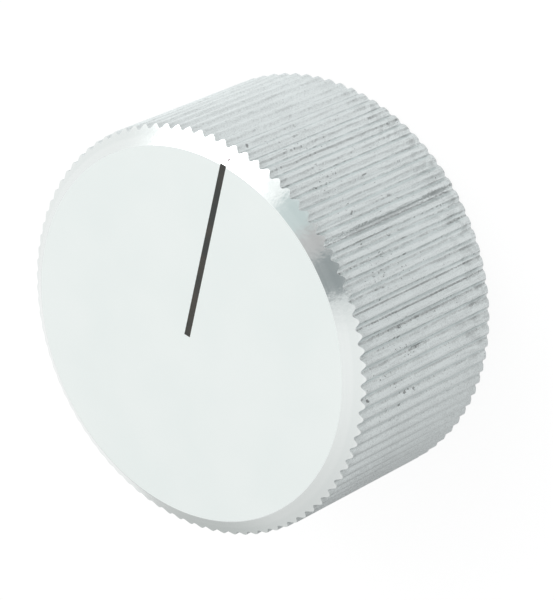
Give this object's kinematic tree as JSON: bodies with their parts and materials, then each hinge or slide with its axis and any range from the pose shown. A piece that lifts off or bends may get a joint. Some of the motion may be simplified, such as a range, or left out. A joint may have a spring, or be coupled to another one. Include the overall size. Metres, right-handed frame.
{
  "type": "knurled knob",
  "caption": "Solid turned aluminium control knob with a straight-knurled rim, bright front chamfer and painted pointer line, set-screw fixed to a 6 mm shaft.",
  "frame": {"origin": "centre of the rear face, which the knob stands on", "axes": "+Z along the shaft axis towards the front face, +Y along the pointer line, +X to its right seen from the front"},
  "size_m": [0.038, 0.038, 0.0193],
  "materials": {
    "turned_aluminium": "satin front face, bright turned chamfer, knurled rim as rolled",
    "pointer_paint": "satin black paint fill",
    "screw_steel": "black oxide"
  },
  "bodies": {
    "root": {"knob_body": "turned_aluminium", "pointer_line": "pointer_paint", "set_screw": "screw_steel"}
  },
  "joints": []
}
